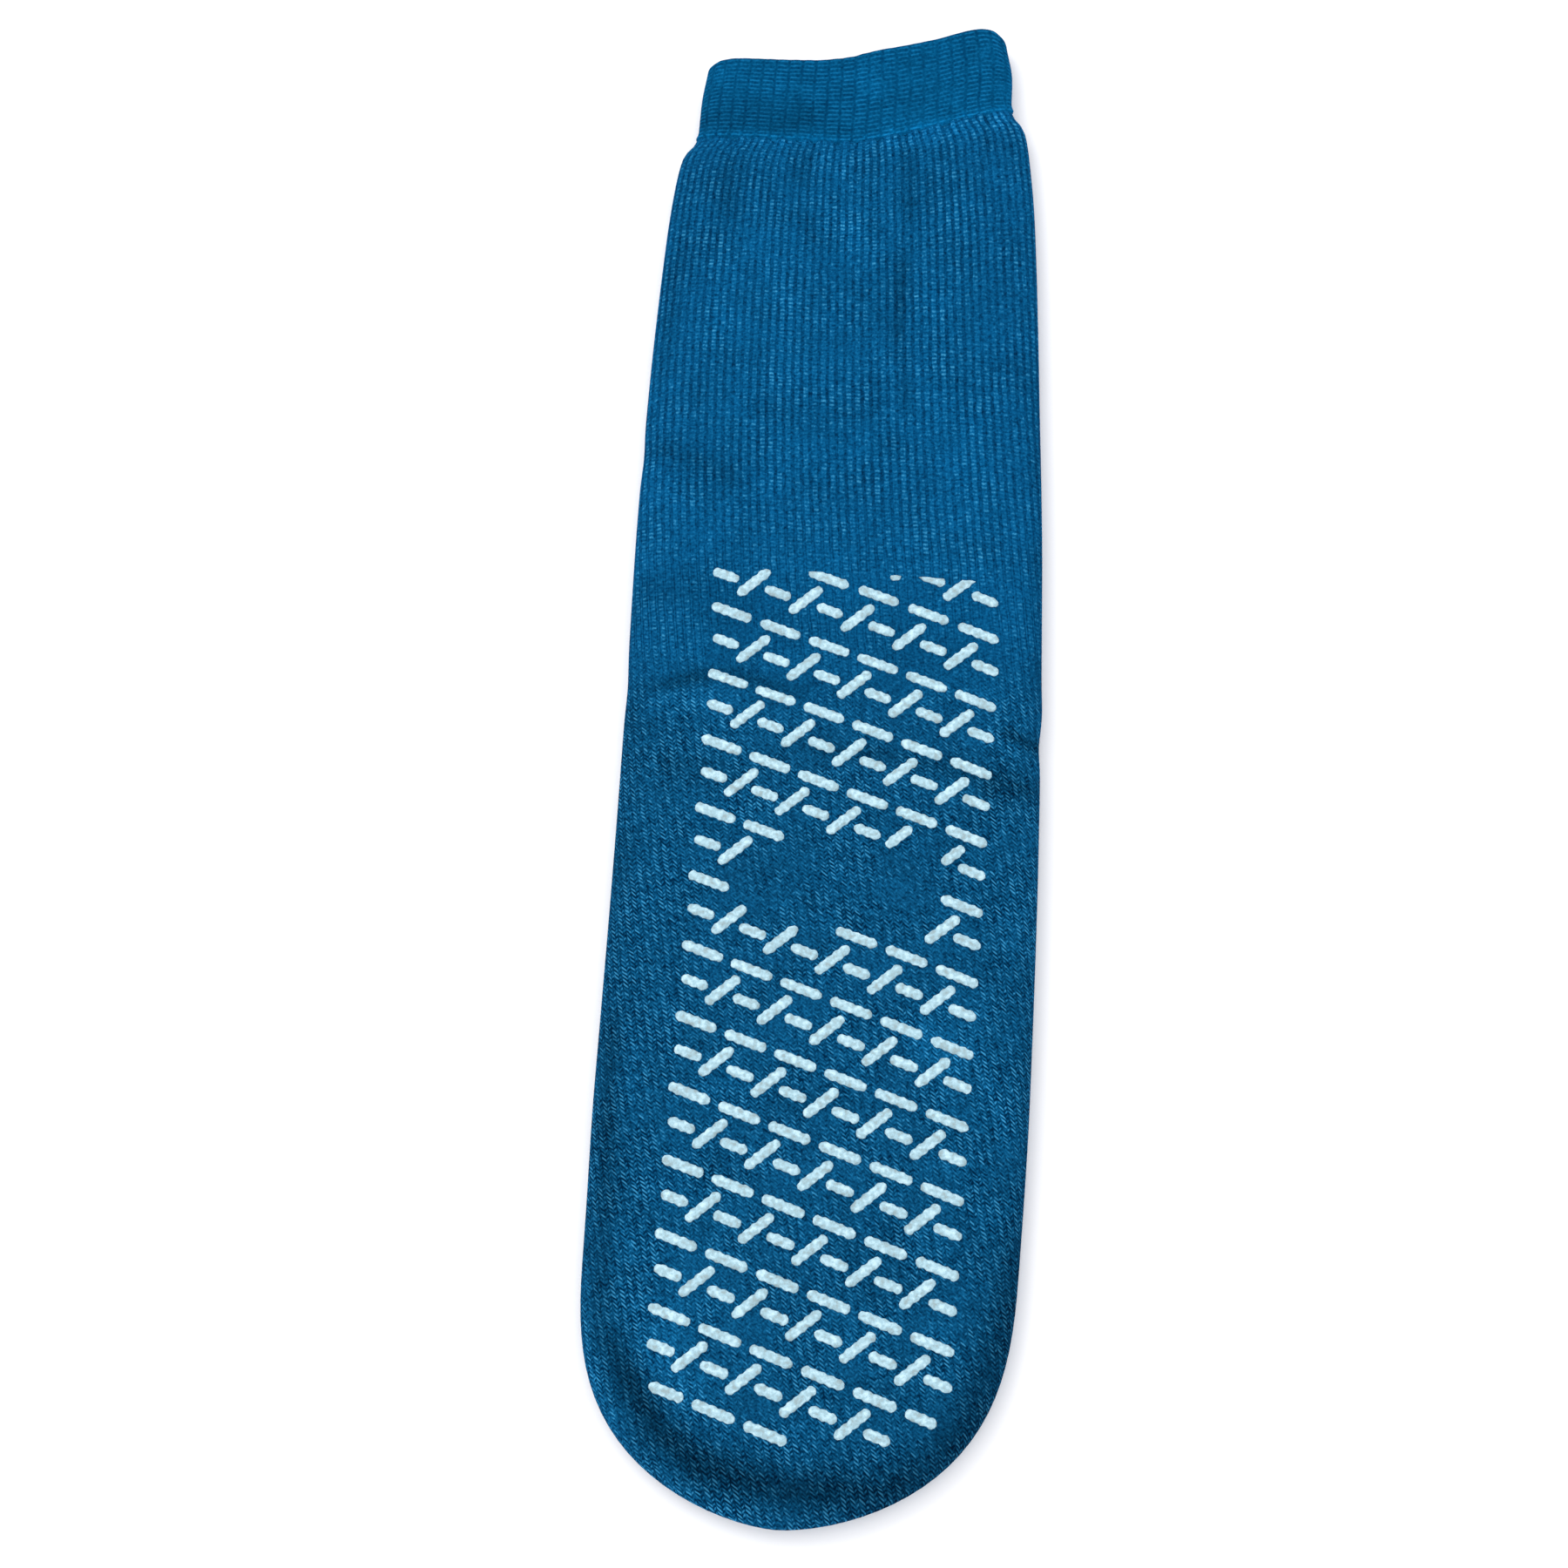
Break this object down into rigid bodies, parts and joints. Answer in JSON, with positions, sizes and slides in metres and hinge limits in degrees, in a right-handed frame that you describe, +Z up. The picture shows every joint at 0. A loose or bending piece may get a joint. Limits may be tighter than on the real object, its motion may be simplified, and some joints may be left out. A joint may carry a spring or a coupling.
{
  "type": "slipper sock",
  "caption": "Knitted tube slipper sock with a closed round toe, a rib cuff and a raised grip print on its sole, lying flat with the sole up.",
  "frame": {"origin": "on the floor, under the middle of the sock's bounding box as it lies", "axes": "+Y from the toe to the cuff, +Z up out of the gripped sole, +X to the wearer's side that is on the right when the toe points to the viewer and the sole is up"},
  "size_m": [0.1162, 0.4132, 0.0146],
  "materials": {
    "terry_knit": "matte terry knit in teal blue, lightly mottled",
    "rib_knit": "matte mock rib knit in the same teal blue"
  },
  "bodies": {
    "root": {"knitted_tube": "terry_knit", "rib_cuff": "rib_knit"}
  },
  "joints": []
}
